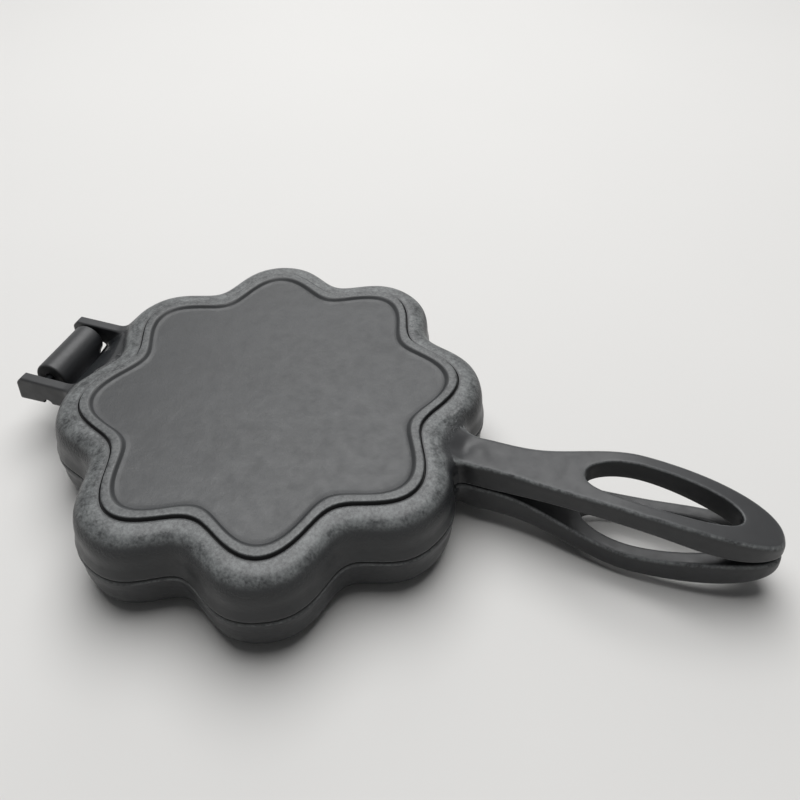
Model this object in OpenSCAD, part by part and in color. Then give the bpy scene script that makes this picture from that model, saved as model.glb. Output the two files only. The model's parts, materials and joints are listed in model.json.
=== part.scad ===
// Egg waffle pan: two cast iron halves with a flower outline, joined by a lift-off hinge.
// Millimetres. +X runs to the handles, +Z is up, and the lower half's foot ring stands on z = 0.

/* [Flower outline] */
// Number of petals round the pan
petals = 8; // [6:2:8]
// Mean radius of the rim, where the two halves meet
body_r = 82.5; // [78:0.5:92]
// How far the petals swing out and in from the mean radius
petal_wave = 6.3; // [4:0.1:7]
// How much the rim's petals are rounded and its valleys narrowed
petal_cusp = 1.1; // [0:0.1:1.5]

/* [Pan half] */
// Height of one half, from its foot ring to the parting plane
half_h = 19.1; // [17:0.1:24]
// Gap between the two rims when the pan is closed
parting_gap = 0.4; // [0.2:0.1:0.8]
// Height of the outer shoulder's round
shoulder_h = 12; // [8:0.1:13.4]
// Width of the outer shoulder's round
shoulder_w = 11.6; // [8:0.1:13]
// How far the wall leans out from the shoulder to the rim
wall_draft = 0.9; // [0.6:0.1:2.4]
// Small round on the rim's outer edge
rim_round = 1; // [0.4:0.1:1.2]

/* [Foot ring] */
// Width of the foot ring
foot_w = 4.1; // [2:0.1:6]
// Height of the foot ring above the shoulder
foot_h = 1.2; // [0.8:0.1:2]
// Depth of the flat panel inside the foot ring
panel_depth = 1.4; // [0.6:0.1:1.6]

/* [Cooking face] */
// Width of the flat rim land round the batter recess
land_w = 6.3; // [5:0.1:8]
// Depth of the batter recess in each half
recess_depth = 2.4; // [2.1:0.1:3]
// Diameter of one bubble cup at the recess floor
bubble_d = 23.6; // [18:0.2:24]
// Depth of one bubble cup below the recess floor
bubble_depth = 9.2; // [6:0.1:9.6]
// Least flat between two cups of the inner ring
cup_gap = 0.5; // [0.3:0.1:1.5]
// Least flat between the outer cups and the recess wall
cup_margin = 0.6; // [0.4:0.1:2]

/* [Handle] */
// Length of the handle, from the rim's mean radius to the tip
handle_len = 115; // [105:1:150]
// Length of the neck before it widens
neck_len = 14.5; // [12:0.5:20]
// Distance from the rim's mean radius to the widest part of the grip
grip_at = 67; // [60:0.5:72]
// Width of the handle's neck
neck_w = 14.8; // [12:0.2:20]
// Width of the handle at its widest
grip_w = 27.5; // [24:0.5:34]
// Height of the handle's outer face above the parting plane at the neck
neck_h = 11.7; // [9:0.1:13]
// Height of the handle's outer face above the parting plane at the grip
grip_h = 16; // [13:0.1:16.6]
// Height of the handle's outer face above the parting plane at the tip
tip_h = 5.4; // [4:0.1:8]
// Largest clearance between the handle's inner face and the parting plane
finger_gap = 7.2; // [5:0.1:8]
// Clearance between the handle's inner face and the parting plane at the tip
tip_gap = 0.9; // [0.4:0.05:1.5]
// Width of the slot in the handle
slot_w = 17; // [12:0.2:18]
// Distance from the rim's mean radius to the start of the slot
slot_start = 44.5; // [42:0.5:50]
// Solid length between the slot and the handle's tip
tip_solid = 15; // [10:0.5:22]

/* [Hinge] */
// Distance from the rim's mean radius to the hinge axis
hinge_offset = 18.9; // [17:0.1:24]
// Height of the hinge axis above the parting plane
hinge_rise = 4.9; // [4.5:0.1:6.5]
// Diameter of the hinge barrel
barrel_d = 14.8; // [12:0.2:16]
// Length of the hinge barrel
barrel_len = 27.5; // [18:0.5:30]
// How far the barrel sits towards the rear ear
barrel_shift = 1.5; // [0:0.1:2]
// Thickness of the neck below the barrel
neck_under = 2.4; // [2:0.1:3.4]
// Diameter of the hinge pin
pin_d = 5; // [4:0.1:5.6]
// Radial clearance of the pin in the barrel's bore
pin_clearance = 0.05; // [0.02:0.01:0.1]
// Radial clearance of the pin in the hook slots
hook_clearance = 0.15; // [0.1:0.05:0.3]
// Distance between the inner faces of the two ears
ear_span = 34; // [32:0.5:38]
// Thickness of one ear
ear_t = 4.4; // [3.8:0.1:6]
// Thickness of the ear's skin that closes the hook slot on the outside
ear_skin = 1.5; // [1:0.1:2]
// Distance from the hinge axis to the end of an ear
ear_end = 9.9; // [8:0.1:13]
// Height of an ear above the hinge axis
ear_rise = 6.4; // [4:0.1:7]
// Corner cut at the end of an ear
ear_chamfer = 2.8; // [1:0.1:3.2]

/* [Hidden] */
iron = "#3b3d40";
dark_iron = "#303236";
steel = "#55585c";

points_per_petal = 12;
outline_n = petals * points_per_petal;
petal_turn = 360 / petals;
shoulder_steps = 6;
shoulder_power = 3;
outline_step = 3;
overlap = 1;
cap_inset = 2;
beyond = 400;

// Heights: the lower half's from the table up, then the upper half's
rim_z = half_h - parting_gap / 2;
recess_z = half_h - recess_depth;
pan_top = 2 * half_h;
upper_rim_z = pan_top - rim_z;

// Radii, worked back from the rim
wall_top_r = body_r - wall_draft;
foot_r = wall_top_r - shoulder_w;
recess_r = body_r - land_w;

// Bubble cups: caps of a sphere. Their reach is taken where the sphere is widest below the rim.
bubble_r = bubble_d / 2;
bubble_sphere_r = (bubble_r * bubble_r + bubble_depth * bubble_depth) / (2 * bubble_depth);
inner_ring_r = (bubble_d + cup_gap) / (2 * sin(petal_turn / 2));
cup_rise = max(0, bubble_sphere_r - bubble_depth - recess_depth);
cup_reach = sqrt(bubble_sphere_r * bubble_sphere_r - cup_rise * cup_rise) + cup_margin;
petal_cup_r = recess_r + petal_wave - cup_reach;
valley_cup_r = recess_r - petal_wave - cup_reach;

// Handle stations along X
root_x = body_r + 4.5;
root_in_x = body_r - petal_wave - 10;
neck_flare = 8;
neck_end_x = body_r + neck_len;
grip_x = body_r + grip_at;
crown_x = grip_x - 6;
rise_start_x = neck_end_x + 8;
gap_start_x = neck_end_x - 4;
handle_reach = body_r + handle_len;
gap_end_x = handle_reach - 8.5;
slot_start_x = body_r + slot_start;
slot_end_x = handle_reach - tip_solid;
slot_wide_x = slot_start_x + 23;
closed_gap = 0.4;
grip_power = 2.4;
fall_power = 1.5;
slot_power = 2.2;

// Hinge stations along X and Z
hinge_reach = body_r + hinge_offset;
hinge_z = half_h + hinge_rise;
ear_end_x = hinge_reach + ear_end;
ear_top_z = hinge_z + ear_rise;
ear_tip_drop = 1;
lip_end_x = hinge_reach - barrel_d / 2 - 1.8;
lip_edge = 1.8;
lip_drop = 11.6;
lip_foot_z = 4;
flare_start_x = body_r + 5.5;
ear_flare = 6;
neck_plate_w = barrel_len - 2 * barrel_shift - 2;
slot_r = pin_d / 2 + hook_clearance;
slot_depth = ear_t - ear_skin;
pin_end_gap = 0.2;
pin_len = ear_span + 2 * (slot_depth - pin_end_gap);
relief_r = 2.3;
relief_x = hinge_reach - slot_r - relief_r + 0.15;

// The origin lies under the middle of the whole length
mid_x = (handle_reach - ear_end_x) / 2;

// Flower outline: a valley faces the handle and, opposite it, the hinge
function cusp(r) = petal_cusp * max(0, (r - foot_r) / (body_r - foot_r));
function petal_radius(r, a) = r - petal_wave * cos(petals * a) - cusp(r) * cos(2 * petals * a);
function flower(r) = [for (i = [0 : outline_n - 1])
    let (a = 360 * i / outline_n) petal_radius(r, a) * [cos(a), sin(a)]];
function ring(r, z) = [for (p = flower(r)) [p.x, p.y, z]];

// Levels of the outer surface from the foot ring to the rim, as mean radius and height. The first
// and the last two lie inside what the panel and the batter recess take away.
function shoulder_level(i) = let (u = i / shoulder_steps, s = sin(90 * u))
    [foot_r + shoulder_w * s,
     foot_h + shoulder_h * (1 - pow(1 - pow(s, shoulder_power), 1 / shoulder_power))];
levels = concat([[foot_r - foot_w - cap_inset, panel_depth / 2],
                 [foot_r - foot_w - cap_inset, 0],
                 [foot_r, 0]],
                [for (i = [0 : shoulder_steps]) shoulder_level(i)],
                [[body_r, rim_z - rim_round],
                 [body_r - rim_round, rim_z],
                 [recess_r - cap_inset, rim_z],
                 [recess_r - cap_inset, rim_z - recess_depth / 2]]);

function smooth(t) = let (c = max(0, min(1, t))) c * c * (3 - 2 * c);
function round_off(t, power) = pow(max(0, 1 - pow(max(0, min(1, t)), power)), 1 / power);

// Half width, outer height and inner gap of the handle at x, the heights from the parting plane
function handle_half(x) = x < grip_x
    ? neck_w / 2 + (grip_w - neck_w) / 2 * smooth((x - neck_end_x) / (grip_x - neck_end_x))
    : grip_w / 2 * round_off((x - grip_x) / (handle_reach - grip_x), grip_power);
function handle_outer(x) = x < crown_x
    ? neck_h + (grip_h - neck_h) * smooth((x - rise_start_x) / (crown_x - rise_start_x))
    : tip_h + (grip_h - tip_h) * round_off((x - crown_x) / (handle_reach - crown_x), fall_power);
function handle_gap(x) = x < crown_x
    ? closed_gap + (finger_gap - closed_gap) * smooth((x - gap_start_x) / (crown_x - gap_start_x))
    : tip_gap + (finger_gap - tip_gap) * smooth((gap_end_x - x) / (gap_end_x - crown_x));
function slot_half(x) = x < slot_wide_x
    ? slot_w / 2 * round_off((slot_wide_x - x) / (slot_wide_x - slot_start_x), slot_power)
    : slot_w / 2 * round_off((x - slot_wide_x) / (slot_end_x - slot_wide_x), slot_power);

// Stations from a to b, closer together near b, where the outline turns
function stations(a, b) = let (n = ceil((b - a) / outline_step))
    [for (i = [0 : n]) a + (b - a) * sin(90 * i / n)];
function centred(a, m, b) = concat([for (i = [8 : -1 : 1]) m - (m - a) * sin(90 * i / 8)], stations(m, b));
handle_xs = stations(root_x, handle_reach);
slot_xs = centred(slot_start_x, slot_wide_x, slot_end_x);
function reversed(list) = [for (i = [len(list) - 1 : -1 : 0]) list[i]];

module place() {
    translate([-mid_x, 0, 0]) children();
}

// Turns what is built for the lower half into the same shape on the upper half
module to_upper() {
    translate([0, 0, pan_top]) mirror([0, 0, 1]) children();
}

// Keeps what lies between two distances from the centre, on the hinge side
module hinge_side(near_x, far_x) {
    intersection() {
        children();
        translate([-far_x, -beyond / 2, -beyond / 2]) cube([far_x - near_x, beyond, beyond]);
    }
}

module flower_plate(r, z0, z1) {
    translate([0, 0, z0]) linear_extrude(z1 - z0) polygon(flower(r));
}

// Outer surface of a half as one closed solid, ring by ring
module shell_solid() {
    n = outline_n;
    last = len(levels) - 1;
    points = [for (l = levels) each ring(l[0], l[1])];
    sides = [for (k = [0 : last - 1], i = [0 : n - 1])
        let (a = k * n + i, b = k * n + (i + 1) % n)
        each [[a, a + n, b], [b, a + n, b + n]]];
    bottom = [[for (i = [0 : n - 1]) i]];
    top = [[for (i = [n - 1 : -1 : 0]) last * n + i]];
    polyhedron(points, concat(sides, bottom, top));
}

// Cup centres as radius and angle: one in the middle, an inner ring, and an outer ring that
// follows the petals and valleys
cups = concat([[0, 0]],
    [for (i = [0 : petals - 1]) [inner_ring_r, (i + 0.5) * petal_turn]],
    [for (i = [0 : petals - 1]) [petal_cup_r, (i + 0.5) * petal_turn]],
    [for (i = [0 : petals - 1]) [valley_cup_r, i * petal_turn]]);

// What the cooking face takes out of a half: the batter recess and the cups in its floor. Above the
// floor each cup's sphere stays inside the recess.
module cooking_face() {
    flower_plate(recess_r, recess_z, rim_z + overlap);
    for (c = cups) rotate(c[1])
        translate([c[0], 0, recess_z - bubble_depth + bubble_sphere_r]) sphere(r = bubble_sphere_r, $fn = 64);
}

// Side profile of the handle between two stations, turned upright and cut to the plan outline
module handle_profile(xs) {
    outer = [for (x = xs) [x, half_h - handle_outer(x)]];
    inner = [for (x = reversed(xs)) [x, half_h - handle_gap(x)]];
    translate([0, grip_w, 0]) rotate([90, 0, 0]) linear_extrude(2 * grip_w) polygon(concat(outer, inner));
}

module handle_plan(xs) {
    right = [for (x = xs) [x, -handle_half(x)]];
    left = [for (x = reversed(xs)) [x, handle_half(x)]];
    linear_extrude(pan_top) polygon(concat(right, left));
}

module slot_cut() {
    right = [for (x = slot_xs) [x, -slot_half(x)]];
    left = [for (i = [len(slot_xs) - 2 : -1 : 1]) [slot_xs[i], slot_half(slot_xs[i])]];
    translate([0, 0, -overlap]) linear_extrude(pan_top) polygon(concat(right, left));
}

module handle_solid() {
    difference() {
        intersection() {
            handle_profile(handle_xs);
            handle_plan(handle_xs);
        }
        slot_cut();
    }
}

// Quarter round that flares a root out to the body: points from the wide end to the narrow end
function flare(x0, y0, size) = let (steps = 6) [for (i = [0 : steps])
    [x0 + size * sin(90 * i / steps), y0 + size * (1 - cos(90 - 90 * i / steps))]];

// Stub on the pan that carries the handle, flared into the valley between two petals
module handle_root() {
    left = flare(root_x - neck_flare, neck_w / 2, neck_flare);
    right = [for (p = reversed(left)) [p.x, -p.y]];
    outline = concat([[root_in_x, left[0].y]], left, right, [[root_in_x, -left[0].y]]);
    translate([0, 0, half_h - neck_h]) linear_extrude(neck_h - closed_gap) polygon(outline);
}

// Solid half pan in the lower half's place, without the hinge
module half_pan() {
    difference() {
        union() {
            shell_solid();
            handle_root();
        }
        flower_plate(foot_r - foot_w, -overlap, panel_depth);
        cooking_face();
    }
}

// Prism with its outline in X and Z, centred on Y
module side_plate(outline, width) {
    translate([0, width / 2, 0]) rotate([90, 0, 0]) linear_extrude(width) polygon(outline);
}

// Web between the ears: it slopes from the shoulder to a thin edge on the parting plane
module hinge_lip() {
    side_plate([[-foot_r, rim_z], [-lip_end_x, rim_z], [-lip_end_x, rim_z - lip_edge],
                [-body_r, half_h - lip_drop], [-foot_r, lip_foot_z]], ear_span + overlap);
}

// Neck of the lower half: it runs under the barrel and rises to it
module hinge_neck() {
    neck_z = hinge_z - barrel_d / 2 - neck_under;
    side_plate([[-foot_r, rim_z], [-lip_end_x - 1.2, rim_z], [-hinge_reach, hinge_z],
                [-hinge_reach - barrel_d / 2 + 2.5, hinge_z - barrel_d / 4],
                [-hinge_reach, neck_z], [-body_r, neck_z - 2.5], [-foot_r, lip_foot_z]], neck_plate_w);
}

module along_hinge(x, z, length) {
    translate([-x, length / 2, z]) rotate([90, 0, 0]) children();
}

module lower_pan() {
    color(iron) place() difference() {
        union() {
            half_pan();
            hinge_side(foot_r, lip_end_x) hinge_neck();
        }
        cooking_face();
    }
}

module lower_handle() {
    color(iron) place() handle_solid();
}

// Barrel on its neck, with the bore for the pin
module hinge_barrel() {
    bore_len = barrel_len + 2 * (barrel_shift + overlap);
    color(dark_iron) place() difference() {
        union() {
            translate([0, barrel_shift, 0]) along_hinge(hinge_reach, hinge_z, barrel_len)
                cylinder(h = barrel_len, d = barrel_d, $fn = 64);
            hinge_side(lip_end_x, hinge_reach + barrel_d) hinge_neck();
        }
        along_hinge(hinge_reach, hinge_z, bore_len) cylinder(h = bore_len, r = pin_d / 2 + pin_clearance, $fn = 64);
    }
}

module hinge_pin() {
    color(steel) place() along_hinge(hinge_reach, hinge_z, pin_len) cylinder(h = pin_len, d = pin_d, $fn = 64);
}

// Outline of an ear in X and Z, from the plane where it leaves the pan
ear_outline = [[-lip_end_x, upper_rim_z],
               [-ear_end_x, upper_rim_z - ear_tip_drop],
               [-ear_end_x, ear_top_z - ear_chamfer],
               [-ear_end_x + ear_chamfer, ear_top_z],
               [-lip_end_x, ear_top_z]];

// Root of both ears on the upper pan, flared into the petals on each side
module ear_roots() {
    inner = ear_span / 2;
    flared = [for (p = flare(-flare_start_x + ear_flare, inner + ear_t, ear_flare))
        [2 * (-flare_start_x + ear_flare) - p.x, p.y]];
    outline = concat([[-foot_r - 2, inner], [-foot_r - 2, flared[0].y]], flared,
                     [[-lip_end_x, inner + ear_t], [-lip_end_x, inner]]);
    for (side = [0, 1]) mirror([0, side, 0])
        translate([0, 0, upper_rim_z]) linear_extrude(ear_top_z - upper_rim_z) polygon(outline);
}

// Ear with a blind hook slot, open at the bottom on its inner side, and a relief by its root
module ear(side) {
    difference() {
        translate([0, side * (ear_span + ear_t) / 2, 0]) side_plate(ear_outline, ear_t);
        translate([-hinge_reach, side * (ear_span / 2 + slot_depth - beyond / 2), 0]) {
            translate([0, beyond / 2, hinge_z]) rotate([90, 0, 0]) cylinder(h = beyond, r = slot_r, $fn = 64);
            translate([-slot_r, -beyond / 2, hinge_z - beyond]) cube([2 * slot_r, beyond, beyond]);
        }
        along_hinge(relief_x, upper_rim_z, beyond) cylinder(h = beyond, r = relief_r, $fn = 64);
    }
}

module upper_pan() {
    color(iron) place() difference() {
        union() {
            to_upper() half_pan();
            to_upper() hinge_lip();
            ear_roots();
        }
        to_upper() cooking_face();
    }
}

module upper_handle() {
    color(iron) place() to_upper() handle_solid();
}

module front_hinge_ear() {
    color(dark_iron) place() ear(-1);
}

module rear_hinge_ear() {
    color(dark_iron) place() ear(1);
}

lower_pan();
lower_handle();
hinge_barrel();
hinge_pin();
upper_pan();
upper_handle();
front_hinge_ear();
rear_hinge_ear();
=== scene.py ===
"""Egg waffle pan: two seasoned cast iron halves with a flower outline, on a lift-off hinge."""
import json
import math

import bmesh
import bpy
import numpy as np
from mathutils import Euler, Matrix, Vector, noise
from mathutils.bvhtree import BVHTree

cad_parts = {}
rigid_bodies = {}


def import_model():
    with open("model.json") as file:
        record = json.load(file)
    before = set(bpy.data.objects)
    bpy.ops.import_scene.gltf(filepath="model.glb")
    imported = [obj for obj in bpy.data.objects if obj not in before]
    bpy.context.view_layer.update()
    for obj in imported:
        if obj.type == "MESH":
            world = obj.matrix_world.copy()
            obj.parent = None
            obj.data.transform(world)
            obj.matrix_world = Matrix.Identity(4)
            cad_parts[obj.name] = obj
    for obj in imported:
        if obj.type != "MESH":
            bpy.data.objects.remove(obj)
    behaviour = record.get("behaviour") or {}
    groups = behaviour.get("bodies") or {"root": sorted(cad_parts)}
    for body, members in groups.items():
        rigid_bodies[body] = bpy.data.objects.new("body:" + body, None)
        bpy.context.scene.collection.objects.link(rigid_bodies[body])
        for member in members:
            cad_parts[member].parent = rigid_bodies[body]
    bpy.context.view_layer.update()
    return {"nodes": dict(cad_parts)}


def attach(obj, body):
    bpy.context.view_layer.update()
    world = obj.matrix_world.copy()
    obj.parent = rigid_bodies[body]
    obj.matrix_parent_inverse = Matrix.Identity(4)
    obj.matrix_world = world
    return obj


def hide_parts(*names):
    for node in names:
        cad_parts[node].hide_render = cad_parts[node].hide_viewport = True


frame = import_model()

bl_info = {
    "name": "Egg waffle pan",
    "version": (1, 0, 0),
    "blender": (4, 5, 0),
    "location": "3D View > Sidebar > Waffle Pan",
    "description": "Builds a cast iron egg waffle pan over its CAD frame",
    "category": "Object",
}

MATH, VECTOR = "ShaderNodeMath", "ShaderNodeVectorMath"
MM = 0.001
PETALS = 8
ANGLES = 384                     # points in each ring of a pan half
BEND_LIMIT = math.radians(38)    # edges bent further than this are shaded crisp
FADE_RADIUS = 40 * MM            # the petals grow in from the panel's middle up to here
LIP_ROUND = 1.0 * MM             # softness of a cup's lip
LIP_SNAP = 0.55 * MM             # points this close to a cup's lip are drawn onto it
ROOT_MARGIN = 2.5 * MM           # how far outside the batter recess a root ends
FINE_SAND = 0.1                  # sand grain of the smooth castings, from 0 to 1
PAN_IRON, HANDLE_IRON, HINGE_IRON = "seasoned sand-cast iron", "smooth seasoned iron", "fettled seasoned iron"


def length(name, mm, text):
    """A size in millimetres as a length property."""
    return bpy.props.FloatProperty(name=name, description=text, default=mm * MM, min=0.0,
                                   subtype="DISTANCE", unit="LENGTH")


def linear(code):
    """An sRGB hex value as linear red, green and blue."""
    parts = [int(code[i:i + 2], 16) / 255 for i in (1, 3, 5)]
    return tuple(c / 12.92 if c <= 0.04045 else ((c + 0.055) / 1.055) ** 2.4 for c in parts)


def colour(name, code, text):
    return bpy.props.FloatVectorProperty(name=name, description=text, default=linear(code),
                                         subtype="COLOR", size=3, min=0.0, max=1.0)


class PanSizes(bpy.types.PropertyGroup):
    centre_x: length("Centre shift", 43.1, "How far the flower's centre lies behind the origin")
    half_height: length("Half height", 19.1, "Height of one half up to the parting plane")
    rim_height: length("Rim height", 18.9, "Height of the lower rim above the table")
    body_radius: length("Rim radius", 82.47, "Mean radius of the rim")
    petal_wave: length("Petal wave", 6.3, "How far the petals swing out and in")
    petal_cusp: length("Petal cusp", 1.1, "How much the valleys at the rim are narrowed")
    foot_radius: length("Foot radius", 70.0, "Mean radius of the foot ring's outer edge")
    foot_width: length("Foot width", 4.1, "Width of the foot ring")
    foot_height: length("Foot height", 1.2, "Height of the foot ring above the shoulder")
    panel_depth: length("Panel depth", 1.4, "Depth of the flat panel inside the foot ring")
    shoulder_width: length("Shoulder width", 11.6, "Width of the shoulder's round")
    shoulder_height: length("Shoulder height", 12.0, "Height of the shoulder's round")
    rim_round: length("Rim round", 1.3, "Round on the rim's outer edge")
    recess_radius: length("Recess radius", 76.2, "Mean radius of the batter recess")
    recess_height: length("Recess height", 16.7, "Height of the recess floor in the lower half")
    cup_radius: length("Cup radius", 11.8, "Radius of a bubble cup at the recess floor")
    cup_depth: length("Cup depth", 9.2, "Depth of a bubble cup below the recess floor")
    inner_ring: length("Inner ring", 31.49, "Radius of the ring of inner cups")
    petal_ring: length("Petal ring", 69.75, "Radius of the ring of cups in the petals")
    valley_ring: length("Valley ring", 57.15, "Radius of the ring of cups in the valleys")


class HandleSizes(bpy.types.PropertyGroup):
    reach: length("Reach", 197.5, "Distance from the flower's centre to the handle's tip")
    neck_end: length("Neck end", 97.0, "Where the neck starts to widen")
    rise_start: length("Rise start", 105.0, "Where the outer face starts to rise")
    gap_start: length("Gap start", 93.0, "Where the two handles start to part")
    gap_end: length("Gap end", 189.0, "Where the two handles meet again")
    crown: length("Crown", 143.5, "Where the handle is highest")
    grip: length("Grip", 149.5, "Where the handle is widest")
    neck_width: length("Neck width", 14.8, "Width of the neck")
    grip_width: length("Grip width", 27.5, "Width of the grip")
    neck_height: length("Neck height", 11.7, "Outer face above the parting plane at the neck")
    grip_height: length("Grip height", 16.0, "Outer face above the parting plane at the grip")
    tip_height: length("Tip height", 5.4, "Outer face above the parting plane at the tip")
    closed_gap: length("Closed gap", 0.4, "Inner face above the parting plane at the neck")
    finger_gap: length("Finger gap", 7.2, "Inner face above the parting plane at the grip")
    tip_gap: length("Tip gap", 0.9, "Inner face above the parting plane at the tip")
    slot_start: length("Slot start", 127.0, "Where the slot starts")
    slot_widest: length("Slot widest", 150.0, "Where the slot is widest")
    slot_end: length("Slot end", 182.5, "Where the slot ends")
    slot_width: length("Slot width", 17.0, "Width of the slot")
    edge_round: length("Edge round", 1.3, "Round on the handle's edges")


class HingeSizes(bpy.types.PropertyGroup):
    axis_x: length("Axis distance", 101.4, "Distance of the hinge axis from the flower's centre")
    axis_z: length("Axis height", 24.0, "Height of the hinge axis")
    barrel_width: length("Barrel diameter", 14.8, "Diameter of the barrel")
    barrel_length: length("Barrel length", 27.5, "Length of the barrel")
    barrel_shift: length("Barrel shift", 1.5, "How far the barrel sits towards the rear ear")
    neck_width: length("Neck width", 22.5, "Width of the neck under the barrel")
    bore: length("Bore", 5.1, "Diameter of the barrel's bore")
    hook: length("Hook slot", 5.3, "Width of the ears' hook slots")
    hook_depth: length("Hook depth", 2.9, "Depth of the hook slots into the ears")
    ear_inner: length("Ear inner face", 17.0, "Distance of an ear's inner face from the middle")
    ear_thick: length("Ear thickness", 4.4, "Thickness of one ear")
    ear_end: length("Ear end", 111.3, "Distance of the ears' ends from the flower's centre")
    ear_top: length("Ear top", 30.4, "Height of the ears' upper edge")
    ear_cut: length("Ear corner", 2.8, "Corner cut at the end of an ear")
    lip_end: length("Web end", 92.2, "Distance of the web's thin edge from the flower's centre")


class Finish(bpy.types.PropertyGroup):
    pan_colour: colour("Pan iron", "#1e2022", "Seasoned iron of the two halves")
    handle_colour: colour("Handle iron", "#212224", "Seasoned iron of the handles")
    hinge_colour: colour("Hinge iron", "#1e1f21", "Seasoned iron of the ears and the barrel")
    # Near-black painted shade for the steps, creases, the parting gap and the barrel's ends
    soot_colour: colour("Painted shade", "#060607", "Baked soot in the steps and creases")
    # Lighter edges: partly wear, partly a painted highlight on rims, bead, shoulder top and handle edges
    wear_and_highlight_colour: colour("Wear and painted highlight", "#787b7b", "Edges lighter from wear and a painted highlight")
    steel_colour: colour("Pin steel", "#27282a", "Drawn steel of the hinge pin")
    table_colour: colour("Table", "#d4d3d1", "Matt paper that the pan stands on")


def add(tree, kind, links=(), **settings):
    """Adds a node with its settings, and sets or links its inputs by name or number. A node that is
    given for an input is linked from its first output."""
    node = tree.nodes.new(kind)
    for name, value in settings.items():
        setattr(node, name, value)
    for key, value in dict(links).items():
        if isinstance(value, bpy.types.Node):
            value = value.outputs[0]
        if isinstance(value, bpy.types.NodeSocket):
            tree.links.new(value, node.inputs[key])
        else:
            node.inputs[key].default_value = value
    return node


def put(name, data):
    """An object for a mesh, lamp or camera, linked to the scene."""
    item = bpy.data.objects.new(name, data)
    bpy.context.scene.collection.objects.link(item)
    return item


# Shapes

def smooth(t):
    c = np.clip(t, 0.0, 1.0)
    return c * c * (3 - 2 * c)


def round_off(t, power):
    return np.maximum(0.0, 1 - np.clip(t, 0.0, 1.0) ** power) ** (1 / power)


def flower_radius(pan, r, angle):
    """Radius of the flower outline with mean radius r, a valley at angle 0."""
    cusp = pan.petal_cusp * np.maximum(0, (r - pan.foot_radius) / (pan.body_radius - pan.foot_radius))
    return r - pan.petal_wave * np.cos(PETALS * angle) - cusp * np.cos(2 * PETALS * angle)


def root_distance(pan, y):
    """Distance from the centre, at y to the side, of a line inside the iron of the rim's valley."""
    angle = np.radians(np.linspace(-35, 35, 141))
    r = flower_radius(pan, pan.recess_radius + ROOT_MARGIN, angle)
    return np.interp(y, r * np.sin(angle), r * np.cos(angle))


def put_marks(mesh, marks):
    """Stores the marks on the mesh's points, each from 0 to 1: sand grain, edge lighter from wear and a
    painted highlight, painted shade, floor.
    """
    for key, numbers in marks.items():
        layer = mesh.attributes.new(key, "FLOAT", "POINT")
        layer.data.foreach_set("value", np.asarray(numbers, dtype=np.float32))


def make_piece(name, points, faces, marks):
    """A mesh object from points in metres, centred on the flower, merged, closed and facing outwards."""
    centre = bpy.context.scene.pan_sizes.centre_x
    mesh = bpy.data.meshes.new(name)
    mesh.from_pydata([(x - centre, y, z) for x, y, z in points], [], faces)
    put_marks(mesh, marks)
    bm = bmesh.new()
    bm.from_mesh(mesh)
    bmesh.ops.remove_doubles(bm, verts=bm.verts, dist=0.002 * MM)
    bmesh.ops.dissolve_degenerate(bm, edges=bm.edges, dist=0.001 * MM)
    rims = [e for e in bm.edges if e.is_boundary]
    if rims:
        bmesh.ops.holes_fill(bm, edges=rims, sides=0)
    bmesh.ops.recalc_face_normals(bm, faces=bm.faces)
    bm.to_mesh(mesh)
    bm.free()
    return put(name, mesh)


def strip(points, faces, marks, grid, closed=False, **shares):
    """Adds a grid of points, rows by columns, as quads. A share is one number, or a list with one
    for each row."""
    start, columns = len(points), len(grid[0])
    shares = {"sand": FINE_SAND, **shares}
    for k, row in enumerate(grid):
        points.extend(row)
        for key, numbers in marks.items():
            share = shares.get(key, 0.0)
            numbers.extend([share[k] if isinstance(share, list) else share] * columns)
    for k in range(len(grid) - 1):
        for i in range(columns if closed else columns - 1):
            a = start + k * columns + i
            b = start + k * columns + (i + 1) % columns
            faces.append((a, b, b + columns, a + columns))


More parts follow.
